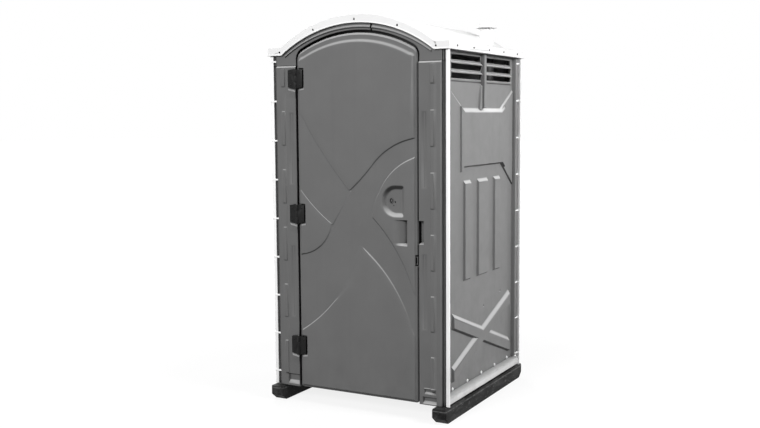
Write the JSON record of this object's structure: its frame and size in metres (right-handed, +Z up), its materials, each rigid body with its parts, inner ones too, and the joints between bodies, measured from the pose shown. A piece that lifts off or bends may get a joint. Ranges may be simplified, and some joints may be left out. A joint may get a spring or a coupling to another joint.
{
  "type": "portable toilet cabin",
  "caption": "Upright plastic toilet cabin on two skids, with a domed roof, an arched hinged door with a turning lock, ribbed walls with louvres, and a tank, seat and urinal inside.",
  "frame": {"origin": "on the ground, below the centre of the whole part", "axes": "+Z up; the door faces -Y; +X to the right for someone who faces the door"},
  "size_m": [1.2, 1.195, 2.3],
  "materials": {
    "wall_grey": "rotomoulded, satin",
    "frame_grey": "rotomoulded, satin",
    "door_grey": "rotomoulded, satin",
    "liner_grey": "satin",
    "base_white": "satin, a little soiled",
    "roof_white": "satin, slightly translucent",
    "trim_white": "satin",
    "skid_black": "rough, scuffed, mottled",
    "hinge_black": "satin",
    "steel": "zinc plated",
    "lock_black": "semi-gloss",
    "dial_light": "semi-gloss",
    "tank_grey": "satin",
    "seat_black": "semi-gloss",
    "urinal_grey": "semi-gloss",
    "vent_grey": "satin",
    "paper_white": "soft tissue"
  },
  "bodies": {
    "cabin": {"skid_left": "skid_black", "skid_right": "skid_black", "floor_pan": "base_white", "side_panel_left": "wall_grey", "side_panel_right": "wall_grey", "rear_panel": "wall_grey", "jamb_left": "frame_grey", "jamb_right": "frame_grey", "header": "frame_grey", "corner_strip_front_left": "trim_white", "corner_strip_front_right": "trim_white", "corner_strip_rear_left": "trim_white", "corner_strip_rear_right": "trim_white", "strip_clips_front": "trim_white", "strip_clips_rear": "trim_white", "roof": "roof_white", "roof_screws": "hinge_black", "base_screws": "trim_white", "vent_pipe": "vent_grey", "vent_cap": "vent_grey", "lock_keeper": "steel", "holding_tank": "tank_grey", "seat_brackets": "seat_black", "seat_hinge_pins": "steel", "urinal": "urinal_grey", "urinal_drain": "urinal_grey", "paper_bracket": "lock_black", "paper_spindle": "lock_black", "coat_hook": "lock_black", "corner_shelf": "tank_grey", "hinge_top_frame_leaf": "hinge_black", "hinge_top_pin": "steel", "hinge_middle_frame_leaf": "hinge_black", "hinge_middle_pin": "steel", "hinge_bottom_frame_leaf": "hinge_black", "hinge_bottom_pin": "steel"},
    "door": {"door_outer_skin": "door_grey", "door_liner": "liner_grey", "door_pull_inside": "lock_black", "padlock_staple": "steel", "bolt_guides": "lock_black", "hinge_top_door_leaf": "hinge_black", "hinge_middle_door_leaf": "hinge_black", "hinge_bottom_door_leaf": "hinge_black"},
    "lock": {"lock_dial": "dial_light", "lock_spindle": "steel", "lock_pinion": "lock_black", "lock_knob": "lock_black"},
    "bolt": {"lock_bolt": "lock_black"},
    "seat": {"seat": "seat_black"},
    "lid": {"seat_lid": "seat_black"},
    "paper_roll_front": {"paper_roll_front": "paper_white"},
    "paper_roll_rear": {"paper_roll_rear": "paper_white"}
  },
  "joints": [
    {"name": "door_swing", "type": "hinge", "parent": "cabin", "child": "door", "pos_m": [-0.4005, -0.566, 1.145], "axis": [0, 0, -1], "range_deg": [0, 110]},
    {"name": "lock_turn", "type": "hinge", "parent": "door", "child": "lock", "pos_m": [0.225, -0.53, 1.245], "axis": [0, -1, 0], "range_deg": [0, 90.1]},
    {"name": "bolt_slide", "type": "slide", "parent": "door", "child": "bolt", "axis": [1, 0, 0], "range_m": [0, 0.02513]},
    {"name": "seat_lift", "type": "hinge", "parent": "cabin", "child": "seat", "pos_m": [0, 0.466, 0.582], "axis": [-1, 0, 0], "range_deg": [0, 88]},
    {"name": "lid_close", "type": "hinge", "parent": "cabin", "child": "lid", "pos_m": [0, 0.466, 0.582], "axis": [1, 0, 0], "range_deg": [0, 95]},
    {"name": "front_roll_spin", "type": "hinge", "parent": "cabin", "child": "paper_roll_front", "pos_m": [-0.466, 0.15, 0.8], "axis": [0, 1, 0], "continuous": true},
    {"name": "rear_roll_spin", "type": "hinge", "parent": "cabin", "child": "paper_roll_rear", "pos_m": [-0.466, 0.15, 0.8], "axis": [0, 1, 0], "continuous": true}
  ],
  "couplings": [
    {"joint": "lock_turn", "follows": "bolt_slide", "rad_per_m": 62.5}
  ]
}
